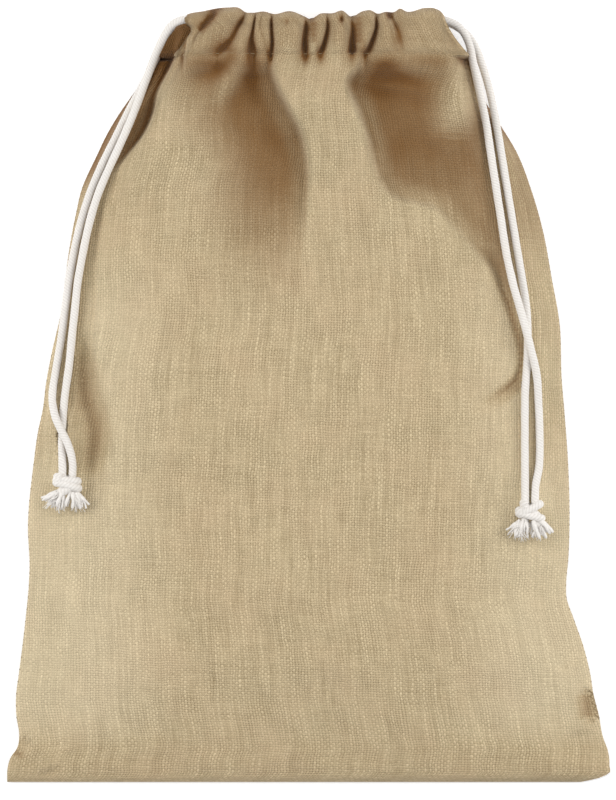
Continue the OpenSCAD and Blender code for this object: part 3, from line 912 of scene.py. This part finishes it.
# Painted shade in dark pits where the pleats are pinched, and painted highlights in light spots between
# them.
PITS = [(-29, 170.5, 1.0, 2.4, 5.5), (-19, 169, 0.8, 1.6, 6), (-2, 170, 1.0, 2.2, 5.5),
    (5.8, 169.5, 0.9, 2.0, 4), (21.6, 170, 1.1, 2.2, 5.5), (27.5, 169.5, 0.8, 2.6, 4.5),
    (-38, 170, 0.5, 3, 4), (44, 177, 0.6, 2.6, 5), (-10, 168, -0.5, 3.0, 6), (13, 168, -0.5, 3.4, 6),
    (2, 172, -0.4, 1.6, 5), (16.3, 186.3, 1.0, 1.3, 2.4), (40, 188.4, 1.3, 1.6, 2.2),
    (-10.7, 185.2, 0.3, 1.6, 2.2)]


def spots(x, y, table):
    """The sum of soft round spots: across, height, strength, half width, half height."""
    total = np.zeros(x.shape)
    for place, at, strength, wide, tall in table:
        total = total + strength * np.exp(-((x - place) / wide) ** 2 - ((y - at) / tall) ** 2)
    return total


def across_pouch(rows, s, inset):
    """Points at the heights in rows and at the shares s of the way from left to right."""
    y = np.repeat(rows[:, None], len(s), axis=1)
    left, right = LEFT_EDGE(y) + inset, RIGHT_EDGE(y) - inset
    return left + (right - left) * s[None], y


def front_panel_grid():
    rows = np.concatenate([[BOTTOM_Y, BOTTOM_Y + 1], np.linspace(BOTTOM_Y + 2, 60, 168)[:-1],
                           np.linspace(60, STITCH_Y, 124)])
    s = np.linspace(0, 1, COLUMNS)
    x, y = across_pouch(rows, s - 0.25 * np.sin(2 * math.pi * s) / (2 * math.pi), 0)
    return np.stack([x, y, front_height(x, y)], axis=-1)


def front_tone(p):
    """Painted shade: how much browner and darker the cloth is painted in the hollows, and most of all in
    the shaded valleys below the gathers; below 0 it is painted light.
    """
    x, y, z = p[..., 0], p[..., 1], p[..., 2]
    neck = ramp(y, 60, 70)
    # Painted shade in the hollows, deepest in the neck.
    hollow = np.clip((blurred(z, 7) - z) / 2.5, 0, 1) * (0.15 + 0.55 * neck)
    hollow = hollow * (1 - 0.6 * smooth((168 - y) / 8))
    # Painted shade along the listed crease lines.
    fold_shade = np.zeros(x.shape)
    for line, width, strength in PAINTED_SHADE_LINES:
        fold_shade = np.maximum(fold_shade, strength * line_hump(x, y, line, width, 0.3))
    below = 1 - ramp(y, 163, 9)
    # Painted shade in the valleys on either side of the broad middle fold.
    out = -beside(x, y, LEFT_RIM)[0]
    left = ramp(out, -0.4, 2) * (1 - ramp(out, 20, 40)) * ramp(y, 35, 85)
    left = left * (0.3 + 0.65 * ramp(out, 0, 12)) * below
    out, height = beside(x, y, RIGHT_RIM)
    reach = RIGHT_REACH(height)
    right = ramp(out, -0.8, 5) * (1 - smooth((out - 0.75 * reach) / (0.6 * reach)))
    right = right * (0.72 + 0.28 * ramp(y, 95, 30)) * smooth((RIGHT_FOLD(y) + 2 - x) / 4)
    low = 1 - ramp(height, 60, 28)
    right = right * np.maximum(0.3 + 0.65 * ramp(out, 0, 12), low) * below * ramp(height, -2, 14)
    # Folds that stand up in the valleys and catch the light get less painted shade.
    lobe = line_hump(x, y, [(82, 178), (76, 160), (73, 146), (72, 126)], 9, 0.3)
    shine = line_hump(x, y, [(40, 176), (48, 166), (60, 161), (70, 158)], 5.5, 0.4)
    triangle = line_hump(x, y, [(-30, 178), (-33.5, 166), (-40, 155), (-50, 142)], 5, 0.4)
    right = right * (1 - 0.9 * lobe) * (1 - 0.5 * shine)
    fold_shade = np.maximum(fold_shade, np.maximum(left * (1 - 0.6 * triangle), right))
    # Painted shade beyond the right fold, beside the right cord.
    fold_shade = fold_shade + 0.22 * ramp(x - RIGHT_FOLD(y), 0, 3) * ramp(y, 70, 20)
    # Painted shade on the steps down to the shoulders, and between the pleats.
    wall = ramp(LEFT_FOLD(y) - x, 0, 2) * ramp(y, 96, 20)
    right_wall = ramp(x - RIGHT_FOLD(y), 0, 2) * ramp(y, 120, 20)
    # Painted shade, darker towards the bottom edge and up through the gathered neck into the casing.
    base = 0.1 * smooth((-165 - y) / 20) + 0.22 * ramp(y, 140, 28)
    # Painted shade in the pinched pits and on the low parts of the pleats.
    pits = spots(x, y, PITS)
    crest = net_rise(PLEAT_NET, x, y[:, 0], CREASE)
    dip = np.clip((3.2 - crest) / 4, 0, 1) * ramp(y, 166, 8)
    dip = dip * ramp(x, -52, 10) * smooth((42 - x) / 8)
    dark = 0.2 * ramp(y, 160, 12) + 0.3 * dip
    dark = dark + 0.25 * np.clip((39 - z) / 6, 0, 1) * ramp(y, 166, 6)
    dark = dark * (1 - 0.4 * ramp(x, 44, 10)) + 0.7 * np.minimum(pits, 1)
    # Painted shade on the strips outside the folds, under and beyond the cords.
    strips = smooth((LEFT_FOLD(y) - 2 - x) / 6) + smooth((x - RIGHT_FOLD(y) - 1) / 6)
    base = base + 0.16 * strips * ramp(y, -60, 50)
    # Painted light: the sides of the lower body are painted paler.
    painted_side_light = smooth((np.abs(x - 2) - 55) / 60) * smooth((95 - y) / 60) * ramp(y, -190, 40)
    return np.clip(hollow + fold_shade + base + dark + 0.72 * wall + 0.5 * right_wall, 0, 1.4) - 0.2 * painted_side_light


# The CAD nodes that each kind of cloth piece stands for, with {} for left or right.
STANDS_FOR = {"front_cloth": ["front_panel"], "back_cloth": ["back_panel"],
              "front_hem": ["front_casing", "front_casing_{}_end"],
              "back_hem": ["back_casing", "back_casing_{}_end"]}


def gather(piece):
    """Bakes the piece's placement into its mesh."""
    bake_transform(piece)


def bend_panel(piece, word):
    """Bakes the panel piece's placement into its mesh, as gather does."""
    gather(piece)


def bend_casing(piece, word):
    """Bakes the casing piece's placement into its mesh, as gather does."""
    gather(piece)


def halves(name, grid, uvs, painted_shading, bend, normals, middle, order=("left", "right")):
    """The cloth in two pieces that meet at its middle column."""
    for word, columns in zip(order, ((0, middle + 1), (middle, grid.shape[1]))):
        piece = cloth_piece(name + "_" + word, grid, uvs, painted_shading, columns, normals)
        bend(piece, word)
        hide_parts(*(node.format(word) for node in STANDS_FOR[name]))


# ---------------------------------------------------------------- casings

HEM_TOP = through([(-63, 187.5), (-60, 189), (-52, 190.6), (-45, 192), (-40, 192.4), (-34, 192),
    (-31.5, 190.2), (-28, 189.8), (-22, 190.4), (-17, 189.2), (-9, 190.6), (-2, 188), (0.5, 186.8),
    (6, 189.4), (12, 189.6), (17, 190.8), (20.8, 188), (27, 190.6), (31, 191), (34, 189.4), (38, 190.2),
    (43, 190.4), (45, 191.8), (48.5, 190.4), (58, 192.2), (63, 191.8), (66, 190), (68, 187)])
# The casing's own ends, which stay clear of the cords that leave between the two casings.
CASING_LEFT = through([(168, -66.2), (172, -64), (177, -60.8), (180.5, -58.2), (182.5, -58.4),
    (185, -60.6), (188, -61.4), (193, -60)])
CASING_RIGHT = through([(168, 79), (172, 76.8), (177, 73.4), (183, 70), (193, 66)])
CREASE = 0.85

# The pleats, from left to right: height, place across and rise, crests and creases in turn.
PLEATS = [
    [(193, -60, -3), (168, -62, -3)],
    [(190, -55, 4), (186, -57.5, 3), (182, -55.5, 2.5), (176, -58, 4.5), (168, -60, 3.5)],
    [(191, -45.5, 0.5), (186, -49, 0), (182, -52, 1), (178, -55.5, 3), (168, -58, 3.4)],
    [(190, -38.5, 7), (186, -40, 7.5), (182, -43, 7), (177, -49, 6.2), (170, -55, 3.6), (168, -56, 3.2)],
    [(190, -31.6, 1), (186, -32.2, 0), (181, -34.8, -0.5), (175, -38.5, -1), (171, -42.5, -1),
     (168, -45, 0)],
    [(190, -28.6, 4.5), (182, -30.5, 5), (175, -32, 5), (168, -33, 4)],
    [(190, -25.8, 0.8), (182, -27.2, -0.5), (175, -28.4, -1.5), (168, -27, -1)],
    [(190, -24, 4.5), (182, -25.6, 4), (175, -24, 4), (168, -22.6, 1)],
    [(190, -22.4, 2.6), (182, -24, 2.6), (175, -21.6, 2.6), (168, -20, 0)],
    [(190, -20.6, 4.5), (182, -21, 5), (175, -19.8, 4), (168, -18.8, 0.2)],
    [(190, -18.4, 1), (182, -18.2, -0.2), (175, -17.8, -1.2), (168, -18.2, -1)],
    [(190, -15, 5.5), (182, -15.2, 6.5), (175, -15, 6.4), (168, -15, 4)],
    [(190, -7, 7), (182, -6, 7.5), (175, -6.5, 7), (168, -6, 4)],
    [(190, -1.4, 1.5), (186, -1.3, 0.2), (176, -2.2, -1), (171, -2, -1), (168, -1.5, 1.5)],
    [(190, 6.5, 5.5), (182, 6.4, 7), (175, 5, 6.5), (168, 3, 3)],
    [(190, 9, 2), (182, 9.2, 0.5), (175, 7.6, -0.8), (170, 6, -0.6), (168, 6, 2)],
    [(190, 15, 6.5), (182, 15.5, 7.2), (175, 15, 7), (168, 14, 4)],
    [(190, 21, 1.5), (182, 21.8, 0.2), (175, 21.6, -1), (170, 22, -0.6), (168, 21, 2.5)],
    [(190, 29.5, 6), (182, 30.4, 7.2), (175, 28.2, 6.5), (168, 24.2, 3.6)],
    [(190, 33.4, 1.2), (182, 33.4, 0), (175, 31.2, -1.2), (168, 27.8, -0.5)],
    [(190, 37.4, 6), (182, 37.8, 6.8), (175, 37.2, 6), (168, 36, 2.2)],
    [(190, 40.6, 1), (184, 42.4, 0.8), (178, 45, 2), (168, 47, 2.6)],
    [(190, 50, 5.5), (180, 55, 6), (168, 60, 4)],
    [(193, 64, 3), (168, 74, 3)],
]
PLEAT_NET = [rows_of(fold) for fold in PLEATS]
# Small dents in the pleats.
DENTS = [(16.3, 186.3, 3.5, 1.3, 2.4), (40, 188.2, 4.5, 1.6, 2.0), (-10.7, 185.2, 1.4, 1.6, 2.2),
    (-47.5, 188, 2.5, 2.5, 2.5), (-28.2, 171.5, 2.0, 1.6, 2.6), (4, 169.5, 1.6, 1.6, 2.0),
    (22, 170.5, 1.6, 1.2, 2.6)]


def casing_grid(stitch_line):
    """A channel of folded cloth: up from the stitch line, over the top edge and back down inside."""
    rows_out, rows_in = 46, 22
    depth = 6.0
    turn = np.concatenate([np.linspace(0, 1, rows_out), 1 + np.linspace(0, 1, rows_in)[1:]])
    grid = np.zeros((len(turn), len(stitch_line), 3))
    sx, sz = stitch_line[:, 0], stitch_line[:, 2]
    s = (sx - sx[0]) / (sx[-1] - sx[0])
    for r, t in enumerate(turn):
        outside = t <= 1
        u = t if outside else 2 - t
        rise = 1 - (1 - u) ** 1.25
        y0 = STITCH_Y + rise * (TOP_Y - 3 - STITCH_Y)
        spread = CASING_LEFT(y0) + (CASING_RIGHT(y0) - CASING_LEFT(y0)) * s
        x = sx + (spread - sx) * ramp(rise, 0, 0.12)
        y = STITCH_Y + rise * (HEM_TOP(x) - STITCH_Y)
        fold = net_rise(PLEAT_NET, x[None], np.array([y0]), CREASE)[0]
        fold = fold - spots(x, y, DENTS)
        roll = np.sqrt(np.clip(1 - np.clip((rise - 0.8) / 0.2, 0, 1) ** 2, 0, 1))
        if outside:
            high = PLEAT_BASE_Z + np.maximum(fold, 0.2) * (1 - 0.25 * ramp(rise, 0.1, 0.3))
            z = FRONT_MID_Z + (high - FRONT_MID_Z) * roll
            z = np.where(rise < 0.999, z, FRONT_MID_Z)
            z = sz + (z - sz) * ramp(rise, 0, 0.12)
        else:
            away = ramp(rise, 0, 0.25)
            z = FRONT_MID_Z - depth * roll * away + (sz - 2 * CLOTH_T - FRONT_MID_Z) * (1 - away)
        grid[r] = np.stack([x, y, z], axis=-1)
    return grid


def make_front():
    panel = front_panel_grid()
    last = panel[-1]
    first_column = int(np.argmin(np.abs(last[:, 0] - LEFT_FOLD(STITCH_Y) - 0.4)))
    last_column = int(np.argmin(np.abs(last[:, 0] - RIGHT_FOLD(STITCH_Y) + 0.6)))
    span = slice(first_column, last_column + 1)
    casing = casing_grid(last[span])
    casing[0] = last[span]
    rows = len(panel)
    together = np.concatenate([panel[:, span], casing[1:]])
    directions = grid_normals(together)
    panel_normals = grid_normals(panel)
    panel_normals[:, span] = directions[:rows]
    panel_uvs = flat_uvs(panel)
    painted_shading_together = front_tone(together)
    panel_painted_shading = front_tone(panel)
    panel_painted_shading[:, span] = painted_shading_together[:rows]
    halves("front_cloth", panel, panel_uvs, panel_painted_shading, bend_panel, panel_normals, HALF)
    uvs = flat_uvs(casing)
    uvs += (panel_uvs[-1, span] - uvs[0])[None]
    halves("front_hem", casing, uvs, painted_shading_together[rows - 1:], bend_casing, directions[rows - 1:],
           HALF - first_column)
    return casing


# ---------------------------------------------------------------- the back cloth

BACK_HALF = 100
BACK_INSET = 0.4
BACK_INNER_Z = 1.4
BACK_CHANNEL = 12.6


def make_back():
    rows = np.concatenate([np.linspace(BOTTOM_Y, 120, 90)[:-1], np.linspace(120, STITCH_Y, 24)])
    x, y = across_pouch(rows, np.linspace(0, 1, 2 * BACK_HALF + 1)[::-1], BACK_INSET)
    z = 0.05 + 0.12 * (1 + np.tanh(waves(x, y, 30, 70, 6, 11)))
    grid = np.stack([x, y, z], axis=-1)
    down = np.zeros(grid.shape)
    down[..., 2] = -1
    halves("back_cloth", grid, flat_uvs(grid), np.full(x.shape, 0.15), bend_panel, down, BACK_HALF,
           ("right", "left"))
    return grid


def make_back_casing(panel):
    """A flatter channel behind the mouth, on the back cloth's last row."""
    left_end = through([(168, -77), (174, -73.5), (180, -69.8), (185, -66), (193, -60)])
    right_end = through([(168, 78), (177, 72), (185, 66), (193, 62)])
    flipped = panel[-1][::-1]
    turn = np.concatenate([np.linspace(0, 1, 24), 1 + np.linspace(0, 1, 20)[1:]])
    grid = np.zeros((len(turn), len(flipped), 3))
    s = (flipped[:, 0] - flipped[0, 0]) / (flipped[-1, 0] - flipped[0, 0])
    net = [rows_of([(y, x - 6, n) for y, x, n in fold]) for fold in PLEATS]
    for r, t in enumerate(turn):
        outside = t <= 1
        rise = 0.5 - 0.5 * math.cos(math.pi * (t if outside else 2 - t))
        y0 = STITCH_Y + rise * (TOP_Y - 4 - STITCH_Y)
        x = left_end(y0) + (right_end(y0) - left_end(y0)) * s
        y = STITCH_Y + rise * (HEM_TOP(x + 5) - 1.0 - STITCH_Y)
        swell = (1 - abs(2 * rise - 1) ** 4) ** 0.5
        if outside:
            z = 0.3 + 0 * x + 1.2 * (1 - swell) * rise
        else:
            z = BACK_INNER_Z + (BACK_CHANNEL + 0.3 * net_rise(net, x[None], np.array([y0]))[0]) * swell
        z = z + ramp(rise, 0.8, 0.2) * (6.5 - z) * (1 - swell)
        grid[r] = np.stack([x, y, z], axis=-1)
    grid = grid[:, ::-1]
    # Painted shade: the back casing is painted darker where its inner channel rises behind the front
    # casing.
    painted_shading = 0.2 + 0.85 * ramp(grid[..., 2], BACK_INNER_Z, 2)
    halves("back_hem", grid, flat_uvs(grid), painted_shading, bend_casing, grid_normals(grid), BACK_HALF,
           ("right", "left"))


# ---------------------------------------------------------------- stitches

STITCH_ROW = 2
STITCH_LIFT = 0.05
STITCH_STEP = 3.9
STITCH_DIP = 0.35
THREAD_RADIUS = 0.13


def front_stitches(casing):
    """Short thread stitches that follow the cloth just above the casing's lower edge."""
    line = casing[STITCH_ROW] + grid_normals(casing)[STITCH_ROW] * STITCH_LIFT
    run = run_along(line)
    for word, side in SIDES.items():
        points, faces = [], []
        at = 1.0
        while at + 3 < run[-1]:
            stitch = np.array([[np.interp(at + d, run, line[:, k]) for k in range(3)]
                               for d in (0, 0.9, 1.9, 2.8)])
            stitch[[0, -1], 2] -= STITCH_DIP
            if min(side * stitch[[0, -1], 0]) > 0:
                tube = spline(stitch, 0.5)
                add_tube(points, faces, tube, [THREAD_RADIUS] * len(tube), 6)
            at += STITCH_STEP
        piece = new_mesh("front_stitches_" + word, points, faces)
        dress(piece, THREAD)
        bend_casing(piece, word)
        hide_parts("front_casing_stitching")


def side_seams():
    """Overcast thread that closes each side, wound to and fro round the two cloths' edges."""
    pitch, margin = 1.5, 0.6
    for word, edge in (("left", LEFT_EDGE), ("right", RIGHT_EDGE)):
        side = SIDES[word]
        low, high = box_mm(word + "_side_seam")
        tall = high[1] - low[1]
        turns = int(tall / pitch)
        points = []
        for k in range(turns):
            y = low[1] + margin + (tall - 2 * margin) * k / (turns - 1)
            turn = math.pi * k
            x = edge(y) - side * (0.9 + 0.8 * math.cos(turn))
            points.append((x, y, 1.35 + 0.15 * math.sin(turn / 2)))
        tube = laid_cord(word + "_side_stitches", points, radius=0.28, step=0.6, around=6)
        tube.data.materials[0] = THREAD
        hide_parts(word + "_side_seam")
        bend_panel(tube, word)


# ---------------------------------------------------------------- put together

def make_floor():
    size = 6.0 / MM
    corners = [(x * size, y * size, FLOOR_Z) for x, y in ((-1, -1), (1, -1), (1, 1), (-1, 1))]
    floor = new_mesh("studio_floor", corners, [(0, 1, 2, 3)])
    floor.data.materials.append(floor_material())


front_casing = make_front()
make_back_casing(make_back())
front_stitches(front_casing)
side_seams()
make_floor()

for node in ("bottom_seam", "back_casing_stitching"):
    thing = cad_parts[node]
    thing.data.materials.clear()
    thing.data.materials.append(THREAD)
